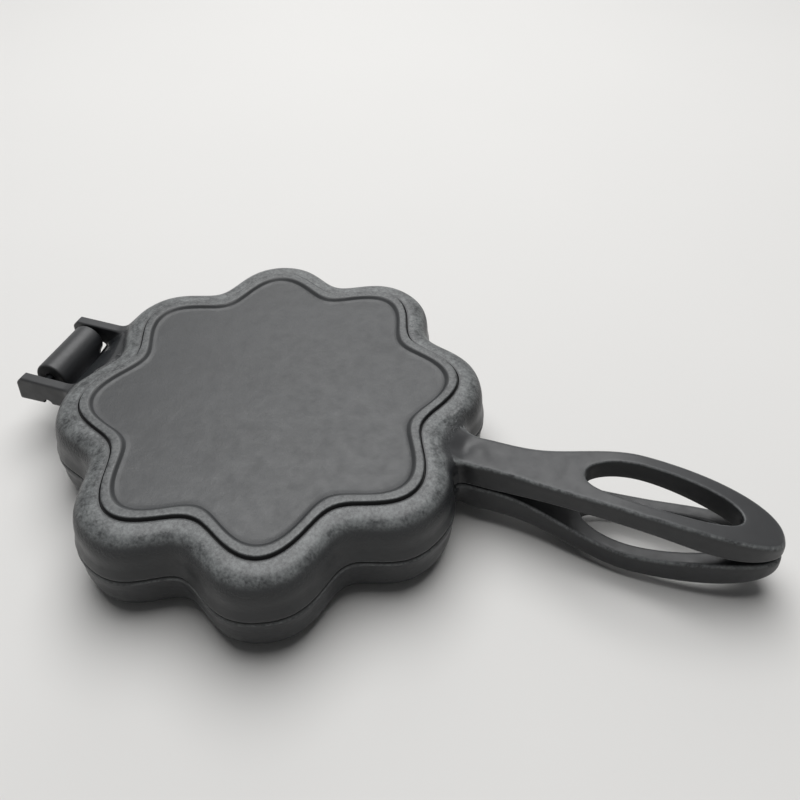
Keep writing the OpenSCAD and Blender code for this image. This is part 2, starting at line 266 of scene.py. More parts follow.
def half_profile(pan):
    """Outline of a half from the middle of its panel, over shoulder and rim, to the middle of its
    cooking face: mean radius, height, sand grain, edges lighter from wear and a painted highlight, painted
    shade, and 1 where cups may sink in."""
    foot, inner = pan.foot_radius / MM, (pan.foot_radius - pan.foot_width) / MM
    panel, lift = pan.panel_depth / MM, pan.foot_height / MM
    rows = [(r, panel, 0.35, 0, 0, 0) for r in np.arange(0, inner - 1.5, 2.4)]
    # The panel's step gets a little painted shade where it meets the foot ring
    for t in (0.12, 0.28, 0.44, 0.6, 0.74, 0.86, 0.95):
        rows.append((inner - 1.6 + 2.2 * t, panel - (panel - 0.12) * float(smooth(t)),
                     0.3, 0, 0.25 * (t > 0.8), 0))
    # The foot ring's top is lighter, partly wear and partly a painted highlight, and its outer step gets
    # painted shade
    rows += [(inner + 0.85, 0.04, 0.3, 0.5, 0, 0), (inner + 1.3, 0, 0.3, 0.5, 0, 0),
             (foot - 1.2, 0, 0.3, 0.5, 0, 0), (foot - 0.5, 0.02, 0.3, 0.8, 0, 0),
             (foot - 0.2, 0.14, 0.3, 0.6, 0, 0), (foot - 0.03, 0.4, 0.3, 0, 0.8, 0),
             (foot, 0.8, 0.3, 0, 1, 0), (foot, lift + 0.5, 0.3, 0, 1, 0),
             (foot + 0.12, lift + 0.7, 0.3, 0, 1, 0), (foot + 0.4, lift + 0.7, 0.3, 0, 1, 0),
             (foot + 0.62, lift + 0.3, 0.3, 0, 0.9, 0), (foot + 0.85, lift + 0.06, 0.4, 0.2, 0.1, 0),
             (foot + 1.2, lift, 0.5, 0, 0, 0)]
    for u in np.linspace(0.1, 1, 20):
        s = math.sin(math.pi / 2 * u)
        sink = 1 - float(round_off(s, 3.0))
        # The grain is coarsest on the shoulder's turn, and the top of the shoulder is lighter, partly from
        # wear and partly as a painted highlight
        grain = float(smooth((u - 0.42) / 0.2)) * (1 - 0.85 * float(smooth((u - 0.75) / 0.15)))
        wear_and_highlight_band = 1 - float(smooth((u - 0.5) / 0.2))
        rows.append((foot + pan.shoulder_width / MM * s, lift + pan.shoulder_height / MM * sink,
                     0.3 + 0.65 * grain, 0.8 * wear_and_highlight_band, 0, 0))
    rim, top, turn = pan.body_radius / MM, pan.rim_height / MM, pan.rim_round / MM
    wall_r, wall_z = rows[-1][0], rows[-1][1]
    for t in np.linspace(0.2, 1, 5):
        rows.append((wall_r + (rim - wall_r) * t, wall_z + (top - turn - wall_z) * t, 0.2, 0, 0, 0))
    # The rim's round is lighter on its outer part, partly wear and partly painted glints, with painted shade
    # where it turns to the parting gap
    for a in np.radians((20, 40, 60, 80, 90)):
        rows.append((rim - turn + turn * math.cos(a), top - turn + turn * math.sin(a), 0.2,
                     0.7 if a < 0.8 else 0, 0 if a < 0.8 else 1, 0))
    recess, floor = pan.recess_radius / MM, pan.recess_height / MM
    # The rim land gets a little painted shade; the recess lip is lighter, partly wear and partly a painted
    # highlight, and its foot gets painted shade
    rows += [(r, top, 0.15, 0, 0.3, 0) for r in np.linspace(rim - turn - 0.7, recess + 0.6, 5)]
    rows += [(recess + 0.25, top - 0.06, 0.15, 0.5, 0, 0), (recess, top - 0.3, 0.15, 0.4, 0, 0),
             (recess, top - 1.0, 0.15, 0, 0, 0), (recess, floor + 0.6, 0.15, 0, 0.2, 0),
             (recess - 0.15, floor + 0.15, 0.15, 0, 0.4, 0), (recess - 0.5, floor, 0.15, 0, 0.2, 1)]
    rows += [(r, floor, 0.15, 0, 0, 1) for r in np.arange(recess - 1.3, 0.9, -1.0)]
    rows.append((0, floor, 0.15, 0, 0, 1))
    return rows


def flower_nodes():
    """Geometry Nodes tree that swings a round pan half out into petals and sinks its bubble cups."""
    tree = bpy.data.node_groups.new("Petals and bubble cups", "GeometryNodeTree")
    tree.interface.new_socket("Geometry", in_out="OUTPUT", socket_type="NodeSocketGeometry")
    tree.interface.new_socket("Geometry", in_out="INPUT", socket_type="NodeSocketGeometry")
    for name in ("Petal wave", "Petal cusp", "Foot radius", "Rim radius", "Fade radius", "Inner ring",
                 "Petal ring", "Valley ring", "Cup radius", "Bowl radius", "Bowl centre", "Lip round",
                 "Lip snap", "Floor height"):
        tree.interface.new_socket(name, in_out="INPUT", socket_type="NodeSocketFloat")
    tree.interface.new_socket("Petals", in_out="INPUT", socket_type="NodeSocketInt")
    tree.interface.new_socket("Iron", in_out="INPUT", socket_type="NodeSocketMaterial")
    given = add(tree, "NodeGroupInput").outputs
    place = add(tree, "GeometryNodeInputPosition")
    flat = add(tree, VECTOR, {0: place, 1: (1.0, 1.0, 0.0)}, operation="MULTIPLY")

    # Petals: points move in and out along their radius, more and more from the middle to the rim
    r = add(tree, VECTOR, {0: flat}, operation="LENGTH").outputs["Value"]
    axes = add(tree, "ShaderNodeSeparateXYZ", {0: place}).outputs
    angle = add(tree, MATH, {0: axes[1], 1: axes[0]}, operation="ARCTAN2")
    turns = add(tree, MATH, {0: angle, 1: given["Petals"]}, operation="MULTIPLY")
    double = add(tree, MATH, {0: turns, 1: 2.0}, operation="MULTIPLY")
    share = add(tree, "ShaderNodeMapRange", {0: r, 1: given["Foot radius"], 2: given["Rim radius"]})
    once = add(tree, MATH, {0: turns}, operation="COSINE")
    twice = add(tree, MATH, {0: double}, operation="COSINE")
    cusp = add(tree, MATH, {0: given["Petal cusp"], 1: share}, operation="MULTIPLY")
    cusp = add(tree, MATH, {0: cusp, 1: twice}, operation="MULTIPLY")
    wave = add(tree, MATH, {0: given["Petal wave"], 1: once, 2: cusp}, operation="MULTIPLY_ADD")
    inward = add(tree, "ShaderNodeMapRange", {0: r, 2: given["Fade radius"], 4: -1.0},
                 interpolation_type="SMOOTHSTEP")
    swing = add(tree, MATH, {0: inward, 1: wave}, operation="MULTIPLY")
    swung = add(tree, MATH, {0: r, 1: swing}, operation="ADD")
    least = add(tree, MATH, {0: r, 1: 1e-6}, operation="MAXIMUM")
    grow = add(tree, MATH, {0: swung, 1: least}, operation="DIVIDE")
    grow = add(tree, "ShaderNodeCombineXYZ", {0: grow, 1: grow, 2: 1.0})
    petal = add(tree, VECTOR, {0: place, 1: grow}, operation="MULTIPLY")
    flower = add(tree, "GeometryNodeSetPosition", {"Geometry": given["Geometry"], "Position": petal})

    # Cups: one in the middle, and rings with one cup in each petal or valley
    step = add(tree, MATH, {0: 2 * math.pi, 1: given["Petals"]}, operation="DIVIDE")
    centres = add(tree, "GeometryNodeJoinGeometry")
    rings = [add(tree, "GeometryNodeMeshLine", {"Count": 1})]
    for ring, turn in (("Inner ring", 0.5), ("Petal ring", 0.5), ("Valley ring", 0.0)):
        circle = add(tree, "GeometryNodeMeshCircle", {"Vertices": given["Petals"], "Radius": given[ring]})
        turned = add(tree, MATH, {0: step, 1: turn}, operation="MULTIPLY")
        spin = add(tree, "ShaderNodeCombineXYZ", {2: turned})
        rings.append(add(tree, "GeometryNodeTransform", {"Geometry": circle, "Rotation": spin}))
    for ring in rings:
        tree.links.new(ring.outputs[0], centres.inputs[0])
    near = add(tree, "GeometryNodeProximity", {0: centres, "Sample Position": flat}, target_element="POINTS")
    away = add(tree, VECTOR, {0: flat, 1: near.outputs["Position"]}, operation="SUBTRACT")
    reach = near.outputs["Distance"]
    floor = add(tree, "GeometryNodeInputNamedAttribute", {"Name": "floor"}, data_type="FLOAT")

    # Points close to a cup's lip are drawn onto it, so that the lip is a clean circle
    close = add(tree, MATH, {0: reach, 1: given["Cup radius"], 2: given["Lip snap"]}, operation="COMPARE")
    drawn = add(tree, MATH, {0: floor, 1: close}, operation="MULTIPLY")
    gap = add(tree, MATH, {0: given["Cup radius"], 1: reach}, operation="SUBTRACT")
    pull = add(tree, MATH, {0: drawn, 1: gap}, operation="MULTIPLY")
    snapped = add(tree, MATH, {0: reach, 1: pull}, operation="ADD")
    aside = add(tree, VECTOR, {0: away}, operation="NORMALIZE")
    aside = add(tree, VECTOR, {0: aside, "Scale": pull}, operation="SCALE")

    # Each cup is the cap of a ball, and meets the floor in a soft lip
    ball = add(tree, MATH, {0: given["Bowl radius"], 1: given["Bowl radius"]}, operation="MULTIPLY")
    square = add(tree, MATH, {0: snapped, 1: snapped}, operation="MULTIPLY")
    inside = add(tree, MATH, {0: ball, 1: square}, operation="SUBTRACT")
    inside = add(tree, MATH, {0: inside, 1: 0.0}, operation="MAXIMUM")
    inside = add(tree, MATH, {0: inside}, operation="SQRT")
    bowl = add(tree, MATH, {0: given["Bowl centre"], 1: inside}, operation="SUBTRACT")
    level = add(tree, MATH, {0: given["Floor height"], 1: bowl, 2: given["Lip round"]},
                operation="SMOOTH_MIN")
    sunk = add(tree, MATH, {0: level, 1: given["Floor height"]}, operation="SUBTRACT")
    sunk = add(tree, MATH, {0: floor, 1: sunk}, operation="MULTIPLY")
    drop = add(tree, "ShaderNodeCombineXYZ", {2: sunk})
    offset = add(tree, VECTOR, {0: aside, 1: drop}, operation="ADD")
    cups = add(tree, "GeometryNodeSetPosition", {"Geometry": flower, "Offset": offset})
    real = add(tree, "GeometryNodeRealizeInstances", {0: cups})
    done = add(tree, "GeometryNodeSetMaterial", {"Geometry": real, "Material": given["Iron"]})
    add(tree, "NodeGroupOutput", {0: done})
    return tree


def pan_half(name, upper, tree, iron):
    """One half pan: a round profile ring by ring, shaped by the Geometry Nodes tree."""
    pan = bpy.context.scene.pan_sizes
    rows = half_profile(pan)
    angle = np.arange(ANGLES) * 2 * math.pi / ANGLES
    points, faces, marks = [], [], {"sand": [], "edge": [], "soot": [], "floor": []}
    for r, z, sand, edge, soot, floor in rows:
        count = 1 if r == 0 else ANGLES
        points.extend((r * MM * math.cos(a), r * MM * math.sin(a), z * MM) for a in angle[:count])
        for key, mark in (("sand", sand), ("edge", edge), ("soot", soot), ("floor", floor)):
            marks[key].extend([mark] * count)
    last = len(points) - 1
    for k in range(len(rows) - 3):
        a = 1 + k * ANGLES
        faces += [(a + i, a + (i + 1) % ANGLES, a + ANGLES + (i + 1) % ANGLES, a + ANGLES + i)
                  for i in range(ANGLES)]
    faces += [(0, 1 + (i + 1) % ANGLES, 1 + i) for i in range(ANGLES)]
    a = last - ANGLES
    faces += [(last, a + i, a + (i + 1) % ANGLES) for i in range(ANGLES)]

    mesh = bpy.data.meshes.new(name)
    mesh.from_pydata(points, [], faces)
    put_marks(mesh, marks)
    source = put(name + "_blank", mesh)
    nodes = source.modifiers.new("Petals and cups", "NODES")
    nodes.node_group = tree
    bowl = (pan.cup_radius ** 2 + pan.cup_depth ** 2) / (2 * pan.cup_depth)
    given = {"Petal wave": pan.petal_wave, "Petal cusp": pan.petal_cusp, "Foot radius": pan.foot_radius,
             "Rim radius": pan.body_radius, "Fade radius": FADE_RADIUS, "Inner ring": pan.inner_ring,
             "Petal ring": pan.petal_ring, "Valley ring": pan.valley_ring, "Cup radius": pan.cup_radius,
             "Bowl radius": bowl, "Bowl centre": pan.recess_height + bowl - pan.cup_depth,
             "Lip round": LIP_ROUND, "Lip snap": LIP_SNAP, "Floor height": pan.recess_height,
             "Petals": PETALS, "Iron": iron}
    for item in tree.interface.items_tree:
        if item.in_out == "INPUT" and item.name in given:
            nodes[item.identifier] = given[item.name]
    shaped = bpy.data.meshes.new_from_object(source.evaluated_get(bpy.context.evaluated_depsgraph_get()))
    bpy.data.objects.remove(source)
    bpy.data.meshes.remove(mesh)
    shaped.name = name
    spots = np.empty(len(shaped.vertices) * 3, dtype=np.float32)
    shaped.vertices.foreach_get("co", spots)
    spots = spots.reshape(-1, 3)
    spots[:, 0] -= pan.centre_x
    if upper:
        spots[:, 2] = 2 * pan.half_height - spots[:, 2]
        shaped.flip_normals()
    shaped.vertices.foreach_set("co", spots.ravel())
    shaped.update()
    return put(name, shaped)


def handle_lines(handle):
    """Functions of x for half width, outer height and inner height, heights from the parting plane."""
    def half(x):
        widen = handle.neck_width / 2 + (handle.grip_width - handle.neck_width) / 2 * smooth(
            (x - handle.neck_end) / (handle.grip - handle.neck_end))
        close = handle.grip_width / 2 * round_off((x - handle.grip) / (handle.reach - handle.grip), 2.4)
        return np.where(x < handle.grip, widen, close)

    def outer(x):
        rise = handle.neck_height + (handle.grip_height - handle.neck_height) * smooth(
            (x - handle.rise_start) / (handle.crown - handle.rise_start))
        fall = handle.tip_height + (handle.grip_height - handle.tip_height) * round_off(
            (x - handle.crown) / (handle.reach - handle.crown), 1.5)
        return np.where(x < handle.crown, rise, fall)

    def inner(x):
        part = handle.closed_gap + (handle.finger_gap - handle.closed_gap) * smooth(
            (x - handle.gap_start) / (handle.crown - handle.gap_start))
        meet = handle.tip_gap + (handle.finger_gap - handle.tip_gap) * smooth(
            (handle.gap_end - x) / (handle.gap_end - handle.crown))
        return np.where(x < handle.crown, part, meet)

    return half, outer, inner


def even_points(x, y, count):
    """count points spread evenly along a line."""
    run = np.concatenate([[0], np.cumsum(np.hypot(np.diff(x), np.diff(y)))])
    at = np.linspace(0, run[-1], count)
    return np.interp(at, run, x), np.interp(at, run, y)


def rounded_wall(turn, between):
    """Rows of a wall with rounded edges, from the outer face to the inner face: how far each row is
    set in, and its level with a rise or drop."""
    arc = [(turn * (1 - math.cos(a)), turn * (1 - math.sin(a))) for a in np.radians(np.linspace(90, 0, 5))]
    return ([(inset, (1, -drop)) for inset, drop in arc] + [(0, (s, turn * (1 - 2 * s))) for s in between]
            + [(inset, (0, drop)) for inset, drop in arc[::-1]])


def handle_piece(name, upper):
    """A slotted handle: faces round the slot, and a neck that runs into the pan's wall."""
    scene = bpy.context.scene
    pan, handle = scene.pan_sizes, scene.pan_handle_sizes
    half, outer, inner = handle_lines(handle)
    turn, slot_turn = handle.edge_round, 0.9 * MM
    cut = handle.slot_start - 9 * MM
    ahead = np.linspace(0, 1, 1500) ** 2
    xs = handle.reach - (handle.reach - cut) * ahead
    px, py = even_points(xs, half(xs), 110)
    side = 10
    spread = np.linspace(1, 0, side + 1)[1:]
    corner = float(half(np.array(cut))) - turn

    # Slot outline from its tip end to its neck end, on one side
    back = (1 - np.cos(np.linspace(0, math.pi, 1500))) / 2
    sx = handle.slot_end - (handle.slot_end - handle.slot_start) * back
    widest = handle.slot_widest
    reach = np.where(sx < widest, (widest - sx) / (widest - handle.slot_start),
                     (sx - widest) / (handle.slot_end - widest))
    sy = handle.slot_width / 2 * round_off(reach, 2.2)
    run = np.concatenate([[0], np.cumsum(np.hypot(np.diff(sx), np.diff(sy)))])
    # Which point of the slot faces each point of the handle's edge
    share = np.interp(px, np.array([118, 132, 150, 178, 186, 197.5]) * MM, [0.93, 0.85, 0.56, 0.15, 0.07, 0])
    share = np.concatenate([share, 0.93 + 0.07 * (1 - spread)])
    qx, qy = np.interp(share * run[-1], run, sx), np.interp(share * run[-1], run, sy)

    def inward(x, y, sign):
        dx, dy = np.gradient(x), np.gradient(y)
        size = np.hypot(dx, dy)
        return sign * dy / size, -sign * dx / size

    nx, ny = inward(px, py, -1)
    nx[0], ny[0], nx[-1], ny[-1] = -1, 0, 0, -1
    mx, my = inward(qx, qy, 1)
    mx[0], my[0], mx[-1], my[-1] = 1, 0, -1, 0

    def both(line):
        """The line's points on one side, then on the other, as one closed loop."""
        return line + [(x, -y, z) for x, y, z in line[-2:0:-1]]

    def point(x, y, level):
        """A point of the handle's skin: level 0 is the inner face and 1 the outer face, with a
        rise or drop in metres."""
        share_up, shift = level
        low, high = float(inner(np.array(x))), float(outer(np.array(x)))
        return (x, y, pan.half_height + low + (high - low) * share_up + shift)

    wall = rounded_wall(turn, (0.75, 0.5, 0.25))
    slot_wall = rounded_wall(slot_turn, (0.66, 0.33))
    # Rounded edges are lighter, partly from wear and partly as a painted highlight
    wear_and_highlight = [0.0, 0.5, 1.0, 0.5, 0.0]
    points, faces, marks = [], [], {"sand": [], "edge": [], "soot": []}

    # Edges and wall round the tip, up to where the neck starts
    grid = []
    for inset, level in wall:
        line = [point(px[j] + nx[j] * inset, py[j] + ny[j] * inset, level) for j in range(len(px))]
        grid.append([(x, -y, z) for x, y, z in line[:0:-1]] + line)
    strip(points, faces, marks, grid, edge=wear_and_highlight + [0, 0, 0] + wear_and_highlight)
    # Wall of the slot, its outer edge lighter, partly from wear and partly as a painted highlight
    grid = [both([point(qx[j] + mx[j] * inset, qy[j] + my[j] * inset, level) for j in range(len(qx))])
            for inset, level in slot_wall]
    strip(points, faces, marks, grid, closed=True, edge=[0.0, 0.3, 0.6, 0.3] + [0.0] * 8)
    # Outer and inner face between the slot and the edge
    ox = np.concatenate([px + nx * turn, np.full(side, cut)])
    oy = np.concatenate([py + ny * turn, corner * spread])
    tx, ty = qx + mx * slot_turn, qy + my * slot_turn
    for up in (1, 0):
        grid = [both([point(tx[j] + (ox[j] - tx[j]) * s, ty[j] + (oy[j] - ty[j]) * s, (up, 0))
                      for j in range(len(ox))]) for s in np.linspace(0, 1, 9)]
        strip(points, faces, marks, grid, closed=True)

    # Neck: stations from the cut to a line inside the pan's wall
    steps = 1 - (1 - np.linspace(0, 1, 44)) ** 1.15

    def neck_point(t, across, inset, level):
        """A point t of the way to the pan, at a share of the half width across."""
        x = cut + (float(root_distance(pan, abs(across) * (handle.neck_width / 2))) - cut) * t
        return point(x, across * (float(half(np.array(x))) - inset), level)

    for sign in (1, -1):
        grid = [[neck_point(t, sign, inset, level) for t in steps] for inset, level in wall]
        strip(points, faces, marks, grid, edge=wear_and_highlight + [0, 0, 0] + wear_and_highlight)
    columns = np.concatenate([[1.0], spread, -spread[-2::-1], [-1.0]])
    for up in (1, 0):
        grid = [[neck_point(t, c, turn, (up, 0)) for t in steps] for c in columns]
        strip(points, faces, marks, grid)
    if not upper:
        points = [(x, y, 2 * pan.half_height - z) for x, y, z in points]
    return make_piece(name, points, faces, marks)


def rounded_bar(name, root, stations, low, high, side, turn, middle=0.0):
    """A bar along -X with rounded edges. root gives the distance of its first face for a y. stations
    are distances with an inset there. low, high and side give the section at a distance."""
    points, faces, marks = [], [], {"sand": [], "edge": [], "soot": []}
    across, upright = 24, 12     # points along the flat faces and along the sides
    first, last = stations[0][0], stations[-1][0]
    grid = []
    for distance, inset in stations:
        width, z0, z1 = side(distance) - inset, low(distance) + inset, high(distance) - inset
        r = min(turn, (z1 - z0) / 2.05)
        ring = []
        corners = ((1, z0 + r, -90), (1, z1 - r, 0), (-1, z1 - r, 90), (-1, z0 + r, 180))
        arcs = [[(sign * (width - r) + r * math.cos(math.radians(start + a)),
                  zc + r * math.sin(math.radians(start + a))) for a in (0, 22.5, 45, 67.5, 90)]
                for sign, zc, start in corners]
        for n, arc in enumerate(arcs):
            here, there = np.array(arc[-1]), np.array(arcs[(n + 1) % 4][0])
            count = upright if n % 2 == 0 else across
            ring += arc + [tuple(here + (there - here) * k / count) for k in range(1, count)]
        fade = 1 - (distance - first) / (last - first)
        grid.append([(-distance - (root(middle + y) - first) * fade, middle + y, z) for y, z in ring])
    strip(points, faces, marks, grid, closed=True)
    return make_piece(name, points, faces, marks)


def spun(name, profile, x, z, count=72, soot=0.0):
    """A turned piece round an axis along Y: profile holds distance along the axis and radius, and
    the last argument is the share of painted shade, one number or a list with one for each row."""
    points, faces, marks = [], [], {"sand": [], "edge": [], "soot": []}
    grid = [[(-x + r * math.cos(a), y, z + r * math.sin(a)) for a in np.arange(count) * 2 * math.pi / count]
            for y, r in profile]
    strip(points, faces, marks, grid + grid[:1], closed=True, soot=soot)
    return make_piece(name, points, faces, marks)


def cut_away(piece, cutters):
    """Cuts the cutter meshes out of a piece."""
    for cutter in cutters:
        cut = piece.modifiers.new("Cut", "BOOLEAN")
        cut.operation, cut.solver, cut.object = "DIFFERENCE", "EXACT", cutter
    mesh = bpy.data.meshes.new_from_object(piece.evaluated_get(bpy.context.evaluated_depsgraph_get()))
    piece.modifiers.clear()
    piece.data = mesh
    for cutter in cutters:
        bpy.data.objects.remove(cutter)


def block(name, low, high):
    """A plain box between two corners, to cut with."""
    centre = bpy.context.scene.pan_sizes.centre_x
    bm = bmesh.new()
    bmesh.ops.create_cube(bm, size=1.0)
    for v in bm.verts:
        v.co = Vector([(low[i] + high[i]) / 2 + v.co[i] * (high[i] - low[i]) for i in range(3)])
        v.co.x -= centre
    mesh = bpy.data.meshes.new(name)
    bm.to_mesh(mesh)
    bm.free()
    return put(name, mesh)


def broken_line(x, spots, heights):
    """Height at x on a line through points, which are given in millimetres."""
    return float(np.interp(x, np.array(spots) * MM, np.array(heights) * MM))


# Roots that flow into each other

def tree_of(piece):
    return BVHTree.FromPolygons([v.co.copy() for v in piece.data.vertices],
                                [tuple(p.vertices) for p in piece.data.polygons])


def lifted(spot, normal, tree, reach):
    """How far a point moves out along its normal to lie on the soft union with another solid."""
    t = other = 0.0
    for _ in range(10):
        hit, facing, _index, gap = tree.find_nearest(spot + normal * t, reach * 2)
        if hit is None:
            return 0.0
        other = gap if (spot + normal * t - hit).dot(facing) >= 0 else -gap
        if t == 0.0 and other < -0.2 * reach:    # it already lies hidden in the other solid
            return 0.0
        share = max(reach - abs(t - other), 0.0) / reach
        field = min(t, other) - share * share * reach / 4
        if abs(field) < 0.004 * MM:
            break
        t = min(t - field, reach)
        if t <= 0:
            return 0.0
    if t > other:
        t -= 0.2 * (t - other)
    # A longer way means that the point lies deep inside the other solid, where it stays hidden
    return t if 0.0 < t < 0.8 * reach else 0.0


def blend_roots(pairs, upper):
    """Moves the skins of touching pieces out to a soft fillet. pairs are (piece, piece, reach)."""
    plane = bpy.context.scene.pan_sizes.half_height
    trees = {}
    for first, second, _reach in pairs:
        for piece in (first, second):
            if piece.name not in trees:
                trees[piece.name] = tree_of(piece)
    moves = {}
    for first, second, reach in pairs:
        for piece, other in ((first, second), (second, first)):
            tree = trees[other.name]
            shifts = moves.setdefault(piece.name, {})
            for v in piece.data.vertices:
                inward = -v.normal.z if upper else v.normal.z
                if inward > 0.5 or tree.find_nearest(v.co, reach)[0] is None:
                    continue
                move = lifted(v.co, v.normal, tree, reach)
                if move > shifts.get(v.index, 0.0):
                    shifts[v.index] = move
    for name, shifts in moves.items():
        mesh = bpy.data.objects[name].data
        normals = [v.normal.copy() for v in mesh.vertices]
        for index, move in shifts.items():
            spot = mesh.vertices[index].co
            before = spot.z
            spot += normals[index] * move
            if abs(before - plane) < 2.5 * MM:
                spot.z = max(spot.z, before) if upper else min(spot.z, before)
        mesh.update()


def cast_lumps(pieces, centre, radius, height):
    """Uneven lumps where a root meets the pan, as left by the sand mould."""
    plane = bpy.context.scene.pan_sizes.half_height
    for piece in pieces:
        mesh = piece.data
        normals = [v.normal.copy() for v in mesh.vertices]
        for v, normal in zip(mesh.vertices, normals):
            away = (v.co - centre).length / radius
            # The parting faces and the flat panel stay as they are
            if away < 1 and 1.5 * MM < abs(v.co.z - plane) < 17 * MM:
                v.co += normal * noise.noise(v.co * (1 / (7 * MM))) * height * (1 - away * away) ** 2
        mesh.update()


def join_into(piece, others):
    """Joins the meshes of other pieces into one piece."""
    bm = bmesh.new()
    bm.from_mesh(piece.data)
    for other in others:
        bm.from_mesh(other.data)
    bm.to_mesh(piece.data)
    bm.free()
    for other in others:
        bpy.data.objects.remove(other)


def soften(piece):
    """Smooth shading, with edges sharper than the limit kept crisp."""
    piece.data.shade_smooth()
    piece.data.set_sharp_from_angle(angle=BEND_LIMIT)


def dress(piece, body, slot, iron, *nodes):
    """Gives a finished piece its iron and its body, and hides the CAD nodes that it stands for; slot is not
    used.
    """
    piece.data.materials.clear()
    piece.data.materials.append(iron)
    soften(piece)
    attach(piece, body)
    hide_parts(*nodes)


# Finishes

def blank_material(name):
    """A new material without nodes, its node tree, and the Object coordinates in it."""
    material = bpy.data.materials.new(name)
    material.use_nodes = True
    tree = material.node_tree
    tree.nodes.clear()
    return material, tree, add(tree, "ShaderNodeTexCoord").outputs["Object"]


def seasoned_iron(name, tint, finish, roughness):
    """Grey cast iron, sand cast and seasoned with baked oil: near black and satin, with a fine pebbled
    grain that sparkles on the turned shoulders, painted shade in steps and creases, and edges lighter from
    wear and a painted highlight."""
    iron, tree, place = blank_material(name)
    sand, edge, soot = [add(tree, "ShaderNodeAttribute", attribute_name=key).outputs["Fac"]
                        for key in ("sand", "edge", "soot")]
    patterns = []
    for size_mm, detail, rough in ((38, 3, 0.5),       # patches of thicker and thinner oil
                                   (5, 4, 0.6),        # blotches of the oil coat
                                   (1.1, 3, 0.65),     # sand grain, drawn at about 1 mm so that it shows
                                   (11, 2, 0.5),       # slow swells left by the mould
                                   (0.45, 2, 0.5)):    # pores of the baked oil
        patterns.append(add(tree, "ShaderNodeTexNoise", {"Vector": place, "Scale": 1 / (size_mm * MM),
                                                         "Detail": detail, "Roughness": rough}))
    cloud, mottle, grain, swells, pores = patterns

    thin = add(tree, "ShaderNodeMapRange", {0: cloud, 1: 0.35, 2: 0.65})
    blotches = add(tree, "ShaderNodeMapRange", {0: mottle, 1: 0.5, 2: 0.72, 4: 0.35})
    speckle = add(tree, MATH, {0: mottle, 1: grain}, operation="ADD")
    speckle = add(tree, "ShaderNodeMapRange", {0: speckle, 1: 0.75, 2: 1.25, 4: 0.9})
    # Lighter edges, partly wear and partly a painted highlight
    wear_and_highlight = add(tree, MATH, {0: edge, 1: speckle}, operation="MULTIPLY")
    # Painted shade: near-black mixed into steps, creases, the parting gap and the barrel's ends
    sooty = add(tree, MATH, {0: soot, 1: 0.9}, operation="MULTIPLY")
    base = (*[c * 0.86 for c in tint], 1)
    for share, shade in ((thin, [c * 1.14 for c in tint]), (blotches, [c * 0.72 for c in tint]),
                         (wear_and_highlight, finish.wear_and_highlight_colour), (sooty, finish.soot_colour)):
        base = add(tree, "ShaderNodeMix", {0: share, 6: base, 7: (*shade, 1)}, data_type="RGBA").outputs[2]

    gloss = add(tree, "ShaderNodeMapRange", {0: mottle, 1: 0.3, 2: 0.7, 3: roughness - 0.06,
                                             4: roughness + 0.08})
    gloss = add(tree, MATH, {0: soot, 1: 0.3, 2: gloss}, operation="MULTIPLY_ADD")
    gritty = add(tree, MATH, {0: sand, 1: sand}, operation="MULTIPLY")
    under = {}
    for pattern, depth_mm, strength in ((swells, 0.4, 0.5), (grain, 0.5, gritty), (pores, 0.03, 0.5)):
        under = {"Normal": add(tree, "ShaderNodeBump", {"Height": pattern, "Distance": depth_mm * MM,
                                                        "Strength": strength, **under})}
    shader = add(tree, "ShaderNodeBsdfPrincipled", {"Base Color": base, "Roughness": gloss, "IOR": 1.45,
                                                    **under})
    add(tree, "ShaderNodeOutputMaterial", {"Surface": shader})
    return iron


def drawn_steel(finish):
    """Mild steel wire, cold drawn: bare grey metal with fine lines along the pin."""
    steel, tree, place = blank_material("cold drawn steel pin")
    # Draw lines about 0.4 mm apart round the pin and 12 mm long along it
    stretched = add(tree, "ShaderNodeMapping", {"Vector": place, "Scale": (2500, 85, 2500)})
    lines = add(tree, "ShaderNodeTexNoise", {"Vector": stretched, "Scale": 1.0, "Detail": 2})
    rub = add(tree, "ShaderNodeMapRange", {0: lines, 1: 0.3, 2: 0.7, 3: 0.3, 4: 0.46})
    bump = add(tree, "ShaderNodeBump", {"Height": lines, "Distance": 0.02 * MM, "Strength": 0.5})
    shader = add(tree, "ShaderNodeBsdfPrincipled", {"Base Color": (*finish.steel_colour, 1), "Metallic": 1.0,
                                                    "Roughness": rub, "Normal": bump})
    add(tree, "ShaderNodeOutputMaterial", {"Surface": shader})
    return steel


def matt_paper(finish):
    """Matt background paper, coated and unprinted: pale, even and free of gloss."""
    paper, tree, place = blank_material("matt background paper")
    # Faint clouds about 170 mm across
    cloud = add(tree, "ShaderNodeTexNoise", {"Vector": place, "Scale": 6, "Detail": 2})
    tone = add(tree, "ShaderNodeMix", {0: cloud, 6: (*[c * 0.97 for c in finish.table_colour], 1),
                                       7: (*finish.table_colour, 1)}, data_type="RGBA").outputs[2]
    shader = add(tree, "ShaderNodeBsdfPrincipled", {"Base Color": tone, "Roughness": 0.75, "IOR": 1.3})
    add(tree, "ShaderNodeOutputMaterial", {"Surface": shader})
    return paper


# Operators

class PanHalves(bpy.types.Operator):
    """Builds both pan halves with their petals, foot rings and bubble cups"""
    bl_idname = "waffle_pan.pan_halves"
    bl_label = "Pan Halves"

    def execute(self, context):
        finish = context.scene.pan_finish
        iron = seasoned_iron(PAN_IRON, finish.pan_colour, finish, 0.37)
        tree = flower_nodes()
        for name, upper in (("lower_pan_casting", False), ("upper_pan_casting", True)):
            piece = pan_half(name, upper, tree, iron)
            if len(piece.data.polygons) < ANGLES:
                raise RuntimeError(f"{name} came out empty")
        return {"FINISHED"}


